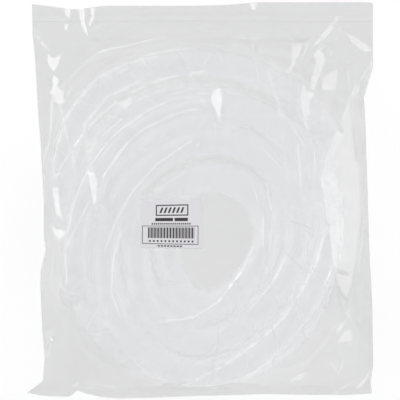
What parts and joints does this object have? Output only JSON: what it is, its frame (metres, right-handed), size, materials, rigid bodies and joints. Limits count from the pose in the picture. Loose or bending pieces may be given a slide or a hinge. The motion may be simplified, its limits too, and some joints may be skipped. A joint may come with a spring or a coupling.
{
  "type": "bagged spiral guard tube",
  "caption": "Clear heat-sealed film bag lying flat, holding a loose oval coil of translucent spiral-cut guard tube, with a small paper label.",
  "frame": {"origin": "centre of the flat back of the pack, on the resting plane", "axes": "+Z out of the front face with the label, +Y towards the header and its weld, +X to the right seen from the front"},
  "size_m": [0.2261, 0.2584, 0.04],
  "materials": {
    "film": "clear, slightly milky, crinkled low density polythene film",
    "weld": "heat-welded double film, slightly whiter, faint ribbed emboss",
    "adhesive": "pressure-sensitive adhesive layer",
    "label": "smooth matt label stock",
    "ink": "thermal print, dark grey-black",
    "tube": "natural translucent polyethylene, satin"
  },
  "bodies": {
    "bag": {"bag_back_film": "film", "bag_front_film": "film", "bottom_seal_band": "weld", "label_adhesive": "adhesive", "label_paper": "label", "label_print": "ink"},
    "header": {"header_front_ply": "film", "header_back_ply": "film", "top_seal_band": "weld", "top_trim_edge": "film"},
    "coil": {"tube_lower_turns": "tube", "tube_crossover": "tube", "tube_upper_turns": "tube"},
    "first_end": {"tube_first_end": "tube"},
    "second_end": {"tube_second_end": "tube"}
  },
  "joints": [
    {"name": "header_fold", "type": "hinge", "parent": "bag", "child": "header", "pos_m": [0, 0.1066, 0.0002], "axis": [1, 0, 0], "range_deg": [-90, 90]},
    {"name": "coil_shift", "type": "slide", "parent": "bag", "child": "coil", "axis": [0, 1, 0], "range_m": [0, 0.004]},
    {"name": "first_end_swing", "type": "hinge", "parent": "coil", "child": "first_end", "pos_m": [0.01793, 0.08696, 0.0099], "axis": [0, 0, 1], "range_deg": [-2, 2]},
    {"name": "second_end_swing", "type": "hinge", "parent": "coil", "child": "second_end", "pos_m": [-0.07092, 0.00695, 0.0299], "axis": [0, 0, 1], "range_deg": [-2, 0]}
  ]
}
